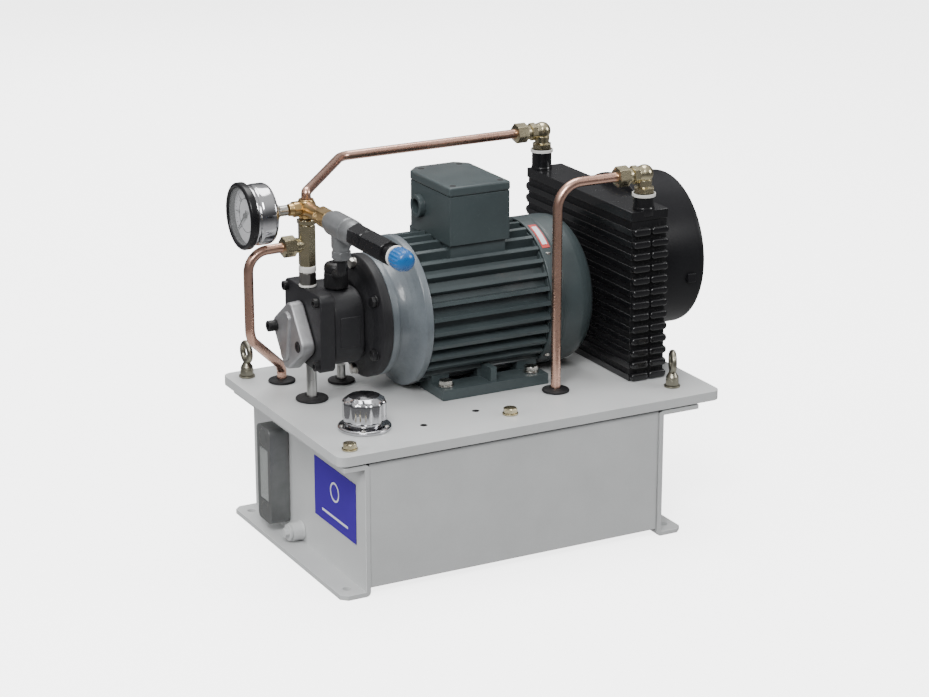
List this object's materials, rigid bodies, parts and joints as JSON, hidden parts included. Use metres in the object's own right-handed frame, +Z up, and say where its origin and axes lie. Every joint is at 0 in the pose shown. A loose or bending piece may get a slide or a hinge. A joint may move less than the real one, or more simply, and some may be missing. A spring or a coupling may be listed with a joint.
{
  "type": "hydraulic power unit",
  "caption": "Compact hydraulic power pack: steel oil tank, electric motor driving a pump on the lid, relief valve with gauge, and a fan-blown oil cooler.",
  "frame": {"origin": "on the floor, at the centre of the unit's plan box, under the tank's feet", "axes": "+X towards the cooler end, -Y the side with the relief knob and filler, +Z up"},
  "size_m": [0.497, 0.341, 0.385],
  "materials": {
    "tank_paint": "light grey stoved paint, semi-gloss",
    "seal_rubber": "matt black rubber",
    "zinc_plate": "olive-yellow passivated zinc plate",
    "bright_steel": "bright machined steel",
    "wire_mesh": "woven stainless wire over a steel cup",
    "chrome_plate": "polished chrome plate",
    "motor_paint": "dark blue-grey paint on cast aluminium",
    "shield_paint": "light blue-grey paint on cast aluminium",
    "black_nylon": "matt black moulded plastic",
    "winding_iron": "laminated iron with varnished winding",
    "pump_iron": "black phosphated cast iron, fine grain",
    "cover_casting": "bare fine-sand cast aluminium",
    "tee_brass": "plain machined brass",
    "black_oxide": "gloss black",
    "knob_blue": "blue moulded plastic",
    "gauge_black": "satin black",
    "gauge_glass": "clear window",
    "copper": "drawn copper tube, lightly tarnished",
    "cooler_black": "gloss black paint on brazed aluminium"
  },
  "bodies": {
    "unit": {"bell_housing": "pump_iron", "case_drain_pipe": "bright_steel", "cooler_matrix": "cooler_black", "drain_boss": "tank_paint", "drain_plug": "bright_steel", "drive_bearing": "bright_steel", "drive_end_shield": "shield_paint", "fan_cowl": "motor_paint", "fan_shroud": "black_oxide", "filler_flange": "chrome_plate", "filler_strainer": "wire_mesh", "gauge_case": "chrome_plate", "gauge_lens": "gauge_glass", "grommet_case_drain": "seal_rubber", "grommet_leak": "seal_rubber", "grommet_return": "seal_rubber", "grommet_suction": "seal_rubber", "inlet_elbow": "zinc_plate", "inlet_tube": "copper", "leak_tube": "copper", "left_end_plate": "tank_paint", "level_gauge_body": "gauge_black", "lid_bolt": "zinc_plate", "lid_gasket": "seal_rubber", "lid_plate": "tank_paint", "lifting_eye_front_right": "zinc_plate", "lifting_eye_rear_left": "zinc_plate", "motor_bolt_front_left": "bright_steel", "motor_bolt_front_right": "bright_steel", "motor_bolt_rear_left": "bright_steel", "motor_bolt_rear_right": "bright_steel", "motor_frame": "motor_paint", "outlet_column": "zinc_plate", "pressure_tee": "tee_brass", "pump_body": "pump_iron", "pump_end_cover": "cover_casting", "rear_bearing": "bright_steel", "rear_end_shield": "motor_paint", "relief_return_tube": "black_oxide", "relief_spring_housing": "black_oxide", "relief_valve_body": "pump_iron", "return_elbow": "zinc_plate", "return_fitting": "black_nylon", "return_tube": "copper", "right_end_plate": "tank_paint", "stator_core": "winding_iron", "suction_pipe": "bright_steel", "suction_strainer": "wire_mesh", "tank_baffle": "tank_paint", "tank_shell": "tank_paint", "terminal_box": "motor_paint", "terminal_box_cover": "motor_paint"},
    "rotor_line": {"rotor_shaft": "bright_steel", "motor_fan": "black_nylon", "pump_rotor": "bright_steel"},
    "cooling_fan": {"cooler_fan": "black_nylon"},
    "relief_knob": {"relief_knob": "knob_blue"},
    "gauge_pointer": {"gauge_pointer": "gauge_black"},
    "filler_lift": {"filler_seal": "seal_rubber"},
    "filler_cap": {"filler_cap": "chrome_plate"}
  },
  "joints": [
    {"name": "rotor_spin", "type": "hinge", "parent": "unit", "child": "rotor_line", "pos_m": [0, 0.0555, 0.23], "axis": [1, 0, 0], "continuous": true},
    {"name": "cooling_fan_spin", "type": "hinge", "parent": "unit", "child": "cooling_fan", "pos_m": [0.2, 0.0555, 0.257], "axis": [1, 0, 0], "continuous": true},
    {"name": "relief_knob_turn", "type": "hinge", "parent": "unit", "child": "relief_knob", "pos_m": [-0.175, -0.15, 0.3505], "axis": [0, -1, 0], "range_deg": [-720, 720]},
    {"name": "gauge_sweep", "type": "hinge", "parent": "unit", "child": "gauge_pointer", "pos_m": [-0.2418, 0.0555, 0.3505], "axis": [1, 0, 0], "range_deg": [0, 270], "stiffness_Nm_per_rad": 0.002},
    {"name": "filler_lift", "type": "slide", "parent": "unit", "child": "filler_lift", "axis": [0, 0, 1], "range_m": [0, 0.05]},
    {"name": "filler_cap_turn", "type": "hinge", "parent": "filler_lift", "child": "filler_cap", "pos_m": [-0.1655, -0.0535, 0.165], "axis": [0, 0, 1], "range_deg": [0, 90]}
  ]
}
